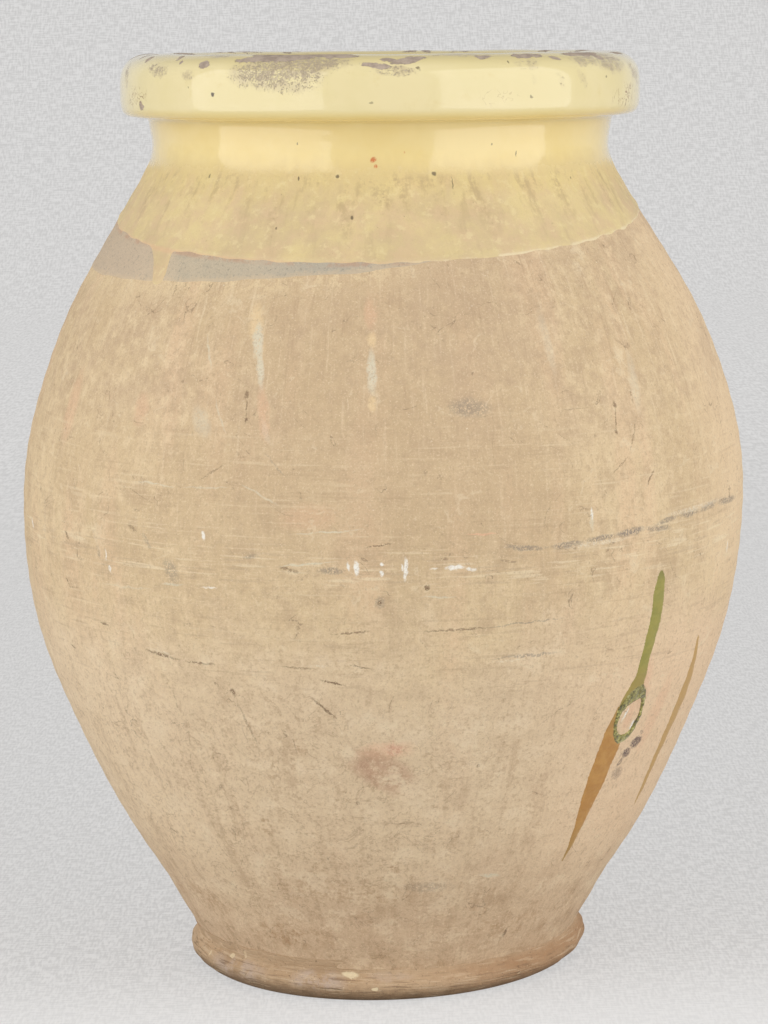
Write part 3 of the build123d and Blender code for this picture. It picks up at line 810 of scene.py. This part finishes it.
    # Pinholes, cracks and a chip
    pins = glaze.marks(
        rim, 0.5, (-37.3, -14, 1.6, 1), (8, 30, 1.3, 0.7), (28, 40, 1.3, 0.8), (-2.5, -26, -1.5, -26, 0.9, 0.5),
        (56, 8, 1.2, 0.6), (33, -20, 1.2, 0.6), (-44, -4, 0.9, 0.6),
    )
    dots = glaze.marks(
        wall, 0.6, (-20, 628, 1.1, 0.7), (27, 626, 1.2, 0.7), (34, 617, 34, 620, 1.1, 0.8),
        (-10, 605, -10.4, 605, 1.8, 0.8), (-19, 604, 1.4, 0.8), (12, 606, 12.5, 606, 1.8, 0.8), (-44, 604, 1.6, 0.7),
        (50, 600, 1.4, 0.6), (-6, 577, 1.8, 0.8), (-22, 570, 1.2, 0.7), (16.2, 604, 16.2, 596, 0.7, 0.7),
    )
    glaze.lay((96, 84, 62), (pins * up_rim) | (dots * (1 - up_rim)))
    chip = glaze.marks(
        wall, 0.6, (-2.3, 616, -1.5, 617, 2.4, 1), (-1.5, 612, -1.1, 612, 1.6, 0.9), (5.5, 621, 1.2, 0.5),
    )
    glaze.lay((208, 120, 70), chip * grain.between(0.34, 0.5) * (1 - up_rim))
    cracks = glaze.noise(9, 2.0, warp=0.8)
    lines = (cracks - 0.5).math("ABSOLUTE").between(0.018, 0.005)
    corner = glaze.marks(rim, 0.9, (60, -26, 74, -20, 9, 1), (-72, -24, -60, -20, 8, 0.8), (20, -20, 30, -20, 5, 0.3))
    glaze.lay((140, 98, 58), lines * corner * up_rim * 0.85)
    rough = glaze.mix_number(0.56, fleck.between(0.3, 0.7, 0.1, 0.18), gloss)
    rough = glaze.mix_number(rough, 0.8, bare)
    bumps = [
        (glaze.mix_number(patch, cloud, gloss), 0.6),
        (glaze.mix_number(fleck, 0.5, gloss), 0.4),
        (0 - bare, 0.35),
    ]
    return glaze.close(rough, bumps, specular=0.38, coat=gloss * (1 - bare) * 0.6)


def lining_finish():
    lining = Finish("lining_glaze")
    cloud, patch, fleck = lining.noise(80, 4, 0.6), lining.noise(20, 5, 0.65), lining.noise(2.6, 3, 0.7)
    pooled = lining.streaks(22, 240, 4)
    lining.start((204, 168, 96), (188, 146, 78), cloud.between(0.38, 0.62))
    lining.stain((158, 116, 58), pooled, 0.52, 0.7, 0.6)
    lining.stain((146, 108, 56), lining.height, 120, 30, 0.6)
    lining.stain((186, 158, 116), patch, 0.58, 0.7, 0.5)
    lining.stain((104, 78, 44), fleck, 0.68, 0.8, 0.6)
    near = (lining.height + (pooled - 0.5) * 60).between(628, 662)
    lining.lay((231, 210, 138), near)
    rough = patch.between(0.3, 0.7, 0.2, 0.36)
    return lining.close(rough, [(patch, 0.5), (fleck, 0.12)])


def green_finish():
    green = Finish("green_kiln_glaze")
    patch, fleck = green.noise(9, 4, 0.65), green.noise(1.8, 3, 0.7)
    green.start((150, 144, 72), (160, 150, 76), patch.between(0.4, 0.62))
    green.stain((168, 142, 80), green.height, 262, 246, 0.6)
    green.stain((120, 116, 60), green.height, 318, 326, 0.6)
    green.stain((126, 120, 58), fleck, 0.6, 0.74, 0.4)
    rough = fleck.between(0.3, 0.7, 0.42, 0.55)
    return green.close(rough, [(patch, 0.3), (fleck, 0.12)], specular=0.45)


def scar_finish():
    scar = Finish("scar_kiln_glaze")
    lump, fleck = scar.noise(3.4, 3, 0.7), scar.noise(1.1, 3, 0.7)
    scar.start((154, 146, 66), (120, 112, 46), lump.between(0.44, 0.58))
    scar.stain((212, 206, 134), lump + (fleck - 0.5) * 0.5, 0.45, 0.36, 0.9)
    scar.stain((74, 70, 30), lump + (fleck - 0.5) * 0.5, 0.54, 0.64, 0.95)
    scar.stain((100, 90, 40), scar.height, 228, 240, 0.5)
    return scar.close(0.08, [(lump, 1.4), (fleck, 0.2)], specular=0.5, coat=0.5)


def amber_finish():
    amber = Finish("amber_kiln_glaze")
    patch, fleck = amber.noise(11, 4, 0.65), amber.noise(2, 3, 0.7)
    thin = amber.angle.between(50, 55)
    amber.start((194, 146, 82), (184, 134, 72), patch.between(0.4, 0.62))
    amber.stain((172, 146, 92), amber.height, 146, 108, 0.6)
    amber.stain((170, 140, 84), amber.height, 206, 224, 0.6)
    amber.lay((194, 156, 98), thin)
    amber.stain((160, 112, 60), fleck, 0.62, 0.76, 0.5)
    amber.stain((214, 172, 112), patch, 0.64, 0.72, 0.5)
    rough = fleck.between(0.3, 0.7, 0.45, 0.6)
    return amber.close(rough, [(patch, 0.25), (fleck, 0.12)], specular=0.4)


def cloth_finish(name, lit_share):
    """Pale grey linen that keeps a shadow and looks about the same all over to the camera."""
    linen = Finish(name)
    x, y, z = linen.parts(linen.here)
    up = y + z
    weaves = []
    for thread in (2.2 * mm, 5.5 * mm):
        warp = linen.noise(1.0, 2.0, place=linen.joined(x / thread, up / (6 * thread)))
        weft = linen.noise(1.0, 2.0, place=linen.joined(x / (6 * thread), up / thread))
        weaves.append((warp + weft).between(0.8, 1.2))
    weave = linen.mix_number(*weaves, y.between(1, 3))
    thread_colour = linen.mix(tint(203, 202, 201), tint(219, 218, 217), weave)
    far = y.between(0.5, 4)
    thin_glow = linen.mix(tint(214, 213, 212), tint(224, 223, 222), far)
    thick_glow = linen.mix(tint(232, 231, 230), tint(243, 242, 241), far)
    glow = linen.mix(thin_glow, thick_glow, weave)
    glow = linen.mix(glow, tint(244, 243, 242), y.between(0, -0.25) * 0.75)
    path = linen.add("ShaderNodeLightPath").socket.node
    seen = [Wire(linen, path.outputs[ray]) for ray in ("Is Camera Ray", "Is Glossy Ray", "Is Transmission Ray")]
    black = {"Base Color": tint(0, 0, 0), "Specular IOR Level": 0.0, "Emission Strength": 1.0}
    lit = linen.add("ShaderNodeBsdfPrincipled", sockets={"Emission Color": glow, **black})
    plain = {"Base Color": thread_colour, "Roughness": 1.0, "Specular IOR Level": 0.0}
    cloth = linen.add("ShaderNodeBsdfPrincipled", sockets=plain)
    share = (seen[0] + seen[1] + seen[2]) * lit_share
    shader = linen.add("ShaderNodeMixShader", sockets={0: share, 1: cloth, 2: lit})
    linen.add("ShaderNodeOutputMaterial", sockets={0: shader})
    return linen.material


# Heights of the luted joints, at the outer face and at the inner face
slab_joint_heights = (slab_joint_height, 38.3)
lower_seam = (175.0, 174.3)
belly_seam = (471.9, 461.9)
shoulder_seam = (606.8, 594.7)
neck_seam = (rim_underside, 635.0)


def wall_radius(height):
    return np.interp(height, outer_face[:, 1], outer_face[:, 0])


def clay_stage(name, low, high, finish):
    """One stage of the wall between two luted joints."""
    outer = thinned(cut(outer_face, low[0], high[0]), wall_pitch)
    inner = thinned(cut(inner_face, low[1], high[1]), hidden_pitch)
    piece = spun(name, np.vstack([outer, inner[::-1]]))
    settle(piece)
    finished(piece, finish, "clay", name)


clay = clay_finish()
foot_clay = foot_finish()
seams = [slab_joint_heights, lower_seam, belly_seam, shoulder_seam, neck_seam]
for name, low, high in zip(("lower_wall", "belly_wall", "shoulder_wall", "neck_collar"), seams, seams[1:]):
    clay_stage(name, low, high, clay)

rim_line = np.vstack([rim_under, rim_lower[1:], rim_face[1:], rim_inside[1:]])
rim_roll = spun("rim_roll", np.vstack([rim_line, [(mouth_clay_radius, neck_seam[1])]]))
settle(rim_roll)
finished(rim_roll, clay, "clay", "rim_roll")

# Floor slab, which stays as packed, and the foot ring pressed round it
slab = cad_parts["floor_slab"]
slab.data.materials.clear()
slab.data.materials.append(foot_clay)

contact = (ring_contact_radius, 0)
bulge = (ring_radius, ring_bulge_height)
ring_waist = (ring_waist_radius, ring_waist_height)
ring_top = (ring_top_radius, ring_top_height)
ring_low = drawn([contact, bulge], steep(radians(25)), UP, ring_pitch)
ring_high = drawn([bulge, ring_waist, ring_top], UP, steep(pi / 2 - waist_flare), ring_pitch)
ring_inside = [(ring_top_radius - 5, ring_top_height - 1), (142, 12)]
foot_ring = spun("foot_ring", np.vstack([[(base_radius, 0)], ring_low, ring_high[1:], ring_inside]))
radius, angle, height = round_the_jar(foot_ring)
ring_face = ramp(contact[0], contact[0] + 6, radius)
pressed = waves_at(foot_waves, angle, height * 3)
pressing = (ring_pressed + ring_fingered * pressed) * ramp(0, 6, height) * (1 - 0.8 * ramp(18, 30, height))
radius = radius - ring_face * pressing
worn_edge = ramp(0.35, 1.2, waves_at(foot_waves, angle + 1, 0)) * ring_face * (1 - ramp(1, 8, height))
raised = ramp(14, 22, height) * (waves_at(foot_waves, angle + 2, 0) - 1) * ring_face
height = height + ring_worn * worn_edge + ring_raised * raised
places = np.stack([radius * np.sin(angle) + ring_shift, -radius * np.cos(angle), height], axis=1)
move_vertices(foot_ring, places * mm)
finished(foot_ring, foot_clay, "foot_clay", "foot_ring")


# Coats, which are shells that sink into the clay where they end
def coat(name, line, depth, thin, lift_at):
    """A closed shell over a line of the clay, lifted off it as far as lift_at says."""
    under = thinned(beside(line, -depth), thin)
    section = np.vstack([line, under[::-1]])
    piece = spun(name, section)
    radius, angle, height = round_the_jar(piece)
    row = np.argmin(np.abs((radius + 1j * height)[:, None] - (section[:, 0] + 1j * section[:, 1])), axis=1)
    ways = np.vstack([beside(line, 1) - line, np.zeros_like(under)])[row]
    lift = lift_at(radius, angle, height)
    move_vertices(piece, settled(radius + ways[:, 0] * lift, angle, height + ways[:, 1] * lift))
    return piece


def slip_lift_at(radius, angle, height):
    edge = dip_line(slip_dip, np.sin(angle), np.cos(angle))
    inside = height - edge + slip_wander * waves_at(slip_waves, angle, 0)
    return np.clip(slip_slope * inside, -slip_sunk, slip_lift)


def drip_reach(angle, height):
    """How far inside the drip's edge a point is, in millimetres."""
    pace = radians(1) * wall_radius(height)
    across, up = (np.degrees(angle) - drip_foot_angle) * pace, height - drip_foot_height
    top_across, top_up = drip_top_shift, drip_top_height - drip_foot_height
    share = np.clip((across * top_across + up * top_up) / (top_across**2 + top_up**2), 0, 1)
    half = drip_tip_radius + (drip_top_half - drip_tip_radius) * share**1.6
    return half - np.hypot(across - top_across * share, up - top_up * share)


def glaze_lift_at(radius, angle, height):
    edge = dip_line(glaze_dip, np.sin(angle), np.cos(angle))
    inside = height - edge + 0.7 * waves_at(edge_waves, angle, 0) + 0.4 * waves_at(slip_waves, 2 * angle + 1, 0)
    drip = drip_reach(angle, height)
    inside = (inside + drip + np.sqrt((inside - drip) ** 2 + drip_fillet**2)) / 2
    bead = bead_height * np.exp(-(((inside - bead_inset) / bead_width) ** 2))
    full = dull_thickness + (coat_thickness - dull_thickness) * ramp(thicker_from, thicker_to, height)
    wavy = 0.12 * waves_at(lumps, 3 * angle, 2 * height) * ramp(thicker_from, 620, height) - 0.12
    return np.minimum(glaze_slope * inside, full + bead + wavy * ramp(0, 6, inside)).clip(-glaze_sunk)


slip_face = thinned(cut(outer_face, skirt_height, slip_top_height), fine_pitch)
slip_coat = coat("slip_coat", slip_face, slip_depth, hidden_pitch, slip_lift_at)
finished(slip_coat, slip_finish(), "slip", "slip_coat")

root_reach = 5.0
root_foot = (neck_root_radius - 0.2, rim_underside - root_reach)
root_end = (neck_root_radius + root_reach, rim_underside)
root_curve = drawn([root_foot, root_end], UP, OUT, fine_pitch)
dipped_line = np.vstack([
    thinned(cut(outer_face, skirt_height, fine_top_height), fine_pitch),
    thinned(cut(outer_face, fine_top_height, rim_underside - root_reach), wall_pitch)[1:],
    root_curve[1:],
    rim_under[rim_under[:, 0] > neck_root_radius + root_reach + 1],
    rim_lower[1:],
    rim_face[1:],
    rim_inside[1:],
])
outer_glaze = coat("outer_glaze", dipped_line, glaze_depth, 1.5 * wall_pitch, glaze_lift_at)
finished(outer_glaze, yellow_finish(), "yellow_glaze", "outer_glaze")

floor_line = np.stack([np.arange(0, floor_edge_radius, hidden_pitch), np.full(8, floor_height)], axis=1)
lined = np.vstack([floor_line, thinned(inner_face, 2 * wall_pitch)])
lining_top = beside(lined, -coat_thickness)
lining_top[0] = (0, floor_height + coat_thickness)
lining_under = thinned(beside(lined, lining_depth), hidden_pitch)
lining_under[0] = (0, floor_height - lining_depth)
inner_glaze = spun("inner_glaze", np.vstack([lining_top, lining_under[::-1]]))
settle(inner_glaze)
finished(inner_glaze, lining_finish(), "lining_glaze", "inner_glaze")


# Runs of kiln glaze and the ring that they end in
def evened(values, window):
    """Values along a line, each drawn towards its neighbours."""
    weights = np.hanning(window + 2)[1:-1]
    padded = np.pad(values, window // 2, mode="edge")
    return np.convolve(padded, weights / weights.sum(), mode="valid")


run_steps = ((18, 130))
run_depth = 0.9
run_sunk = 0.3
run_wander = 0.09
run_uneven = 0.12


def run(name, thickness, rows, finish, slot):
    """A domed streak between two edges, given as rows of a height, a left angle and a right angle."""
    rows = np.array(rows)[::-1]
    across, along = run_steps
    bpy.ops.object.select_all(action="DESELECT")
    bpy.ops.mesh.primitive_grid_add(x_subdivisions=across, y_subdivisions=along, size=2)
    piece = bpy.context.object
    piece.name = piece.data.name = name
    places = vertices(piece)
    share = (places[:, 1] + 1) / 2
    levels, window = np.linspace(0, 1, 400), 25
    height, heights = [rows[0, 0] + (rows[-1, 0] - rows[0, 0]) * way for way in (share, levels)]
    ragged = wave(10, 40)
    left, right = [
        np.interp(share, levels, evened(np.interp(heights, rows[:, 0], rows[:, side]), window))
        + run_wander * waves_at(ragged, 9 * share + start, 0)
        for side, start in ((1, 0), (2, 2))
    ]
    out = np.sin(places[:, 0] * pi / 2)
    angle = radians(1) * (left * (1 - out) + right * (1 + out)) / 2
    dome = np.sqrt(np.clip(1 - out**2, 0, 1)) * np.sqrt(np.clip(1 - (2 * share - 1) ** 8, 0, 1))
    lift = (thickness + run_sunk) * dome * (1 + run_uneven * waves_at(ragged, 5 * share, 0)) - run_sunk
    move_vertices(piece, settled(wall_radius(height) + lift, angle, height))
    solid = piece.modifiers.new("thickness", "SOLIDIFY")
    solid.thickness = run_depth * mm
    solid.offset = -1
    bpy.ops.object.modifier_apply(modifier=solid.name)
    finished(piece, finish, slot, name, crease=60)


green = green_finish()
amber = amber_finish()
run("green_glaze_run", 0.75, [
    (328, 46.0, 46.6), (323, 45.3, 47.1), (311, 44.8, 47.5), (300, 44.9, 47.5), (291, 44.8, 47.5), (274, 44.4, 46.9),
    (266, 44.3, 46.6), (252, 44.1, 46.7), (243, 43.2, 46.9), (235, 42.2, 46.4), (227, 41.8, 44.6),
], green, "green_glaze")
run("amber_glaze_run", 0.6, [
    (230, 41.9, 42.2), (219, 41.0, 42.4), (210, 40.4, 43.2), (203, 40.2, 44.4), (198, 40.1, 45.8), (190, 40.0, 45.6),
    (182.5, 39.8, 45.1), (171, 39.7, 45.0), (163, 39.8, 44.7), (151, 40.0, 43.9), (137, 40.6, 43.3),
    (120, 41.1, 42.6), (104, 41.3, 41.6),
], amber, "amber_glaze")
run("side_glaze_run", 0.35, [
    (271, 60.3, 60.9), (262, 60.6, 61.9), (250, 61.0, 62.8), (237, 60.9, 63.8), (221, 60.5, 64.5), (205, 60.5, 64.1),
    (193, 60.3, 63.5), (170, 60.2, 62.6), (148, 60.6, 62.4), (134, 61.3, 61.7),
], amber, "amber_glaze")

scar_middle = (45.0, 221.0)
scar_outer = [
    (46.6, 243.6), (44.2, 240.4), (42.6, 231.8), (41.8, 219.7), (42.3, 211.0), (43.2, 203.3), (44.4, 198.2),
    (46.4, 199.4), (48.0, 206.0), (48.5, 214.0), (48.3, 223.7), (47.9, 235.6),
]
scar_inner = [
    (47.2, 231.8), (45.4, 229.6), (43.8, 225.7), (42.8, 217.9), (43.4, 209.6), (45.0, 205.0), (46.6, 206.2),
    (47.5, 214.0), (47.7, 225.4),
]


def outline_reach(outline, bearings):
    """How far an outline is from the scar's middle on each bearing, in millimetres."""
    points = np.array(outline) - scar_middle
    points[:, 0] *= radians(1) * wall_radius(scar_middle[1])
    own = np.arctan2(points[:, 1], points[:, 0])
    order = np.argsort(own)
    return np.interp(bearings, own[order], np.hypot(*points.T)[order], period=2 * pi)


bpy.ops.object.select_all(action="DESELECT")
bead_turns, bead_round = ((180, 22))
bead_share = 0.3
scar_rise, scar_uneven, scar_depth, scar_sunk = 1.7, 0.45, 0.9, 0.25
scar_wander = 0.35
bpy.ops.mesh.primitive_torus_add(
    major_segments=bead_turns, minor_segments=bead_round, major_radius=1, minor_radius=bead_share
)
ring_scar = bpy.context.object
ring_scar.name = ring_scar.data.name = "ring_scar"
places = vertices(ring_scar)
bearing = np.arctan2(places[:, 1], places[:, 0])
out = (np.hypot(places[:, 0], places[:, 1]) - 1) / bead_share
fan = np.linspace(-pi, pi, 361)
outer_reach, inner_reach = [
    np.interp(bearing, fan, evened(np.tile(outline_reach(outline, fan[:-1]), 3), 21)[360:721])
    for outline in (scar_outer, scar_inner)
]
scar_lumps = wave(14, 26)
bumpy = waves_at(scar_lumps, bearing, 0)
reach = (outer_reach + inner_reach + (outer_reach - inner_reach) * out) / 2
reach = reach + scar_wander * waves_at(scar_lumps, bearing + 2, 0)
lift = places[:, 2] / bead_share
rise = np.where(lift > 0, np.abs(lift) ** 0.8 * (scar_rise + scar_uneven * bumpy), scar_depth * lift) - scar_sunk
angle = radians(scar_middle[0]) + reach * np.cos(bearing) / wall_radius(scar_middle[1])
height = scar_middle[1] + reach * np.sin(bearing)
move_vertices(ring_scar, settled(wall_radius(height) + rise, angle, height))
finished(ring_scar, scar_finish(), "green_glaze", "ring_scar", crease=60)


# The studio: pale cloth under and behind the jar, and a tall softbox on each side of the camera
cloth_size, cloth_height, cloth_sweep = 15.0, 6.0, 2.0
lit_share = 0.68


def select_back_edge(cloth):
    """Selects the edge where the cloth leaves the floor, and goes to edit mode."""
    bpy.ops.object.mode_set(mode="EDIT")
    bpy.ops.mesh.select_mode(type="EDGE")
    bpy.ops.mesh.select_all(action="DESELECT")
    bpy.ops.object.mode_set(mode="OBJECT")
    for edge in cloth.data.edges:
        ends = [cloth.data.vertices[v].co for v in edge.vertices]
        edge.select = all(end.y > cloth_size / 3 and end.z < cloth_height / 2 for end in ends)
    bpy.ops.object.mode_set(mode="EDIT")


bpy.ops.object.select_all(action="DESELECT")
bpy.ops.mesh.primitive_plane_add(size=cloth_size, location=(0, 0, 0))
cloth = bpy.context.object
cloth.name = "cloth"
select_back_edge(cloth)
bpy.ops.mesh.extrude_region_move(TRANSFORM_OT_translate={"value": (0, 0, cloth_height)})
select_back_edge(cloth)
bpy.ops.mesh.bevel(offset=cloth_sweep, segments=16)
bpy.ops.object.mode_set(mode="OBJECT")
bpy.ops.object.shade_smooth()
cloth.data.materials.append(cloth_finish("pale_cloth", lit_share))

lit_strength, seen_strength = 0.5, 0.68
world = bpy.data.worlds.new("studio")
bpy.context.scene.world = world
world.use_nodes = True
nodes, links = world.node_tree.nodes, world.node_tree.links
lit_sky, seen_sky = nodes["Background"], nodes.new("ShaderNodeBackground")
for sky, strength in ((lit_sky, lit_strength), (seen_sky, seen_strength)):
    sky.inputs["Color"].default_value = (1, 1, 1, 1)
    sky.inputs["Strength"].default_value = strength
path, sky = nodes.new("ShaderNodeLightPath"), nodes.new("ShaderNodeMixShader")
links.new(path.outputs["Is Camera Ray"], sky.inputs[0])
links.new(lit_sky.outputs[0], sky.inputs[1])
links.new(seen_sky.outputs[0], sky.inputs[2])
links.new(sky.outputs[0], nodes["World Output"].inputs[0])

softbox_distance, softbox_height, softbox_bearing = 1.7, 1.12, radians(56)
softbox_size, softbox_power = (2.0, 2.3), 21.0
for side, turned_in in ((-1, radians(2)), (1, 0)):
    lamp = bpy.data.lights.new("softbox", "AREA")
    lamp.shape = "RECTANGLE"
    lamp.size, lamp.size_y = softbox_size
    lamp.energy = softbox_power
    softbox = bpy.data.objects.new("softbox", lamp)
    bearing = side * (softbox_bearing - turned_in)
    softbox.location = (softbox_distance * sin(bearing), -softbox_distance * cos(bearing), softbox_height)
    softbox.rotation_euler = (pi / 2, 0, bearing)
    bpy.context.collection.objects.link(softbox)

# The camera stands where the photograph's did
camera_pitch, camera_roll = radians(8.704), radians(-1.788)
camera_right, camera_near, camera_height = 8.9 * mm, -2387.8 * mm, 707.3 * mm
camera_lens = 111.18
lens = bpy.data.cameras.new("camera")
lens.lens = camera_lens
camera = bpy.data.objects.new("camera", lens)
camera.location = (camera_right, camera_near, camera_height)
level = Euler((pi / 2 - camera_pitch, 0, 0)).to_matrix()
camera.rotation_euler = (level @ Matrix.Rotation(camera_roll, 3, "Z")).to_euler()
bpy.context.collection.objects.link(camera)
bpy.context.scene.camera = camera
bpy.context.scene.view_settings.view_transform = "Standard"
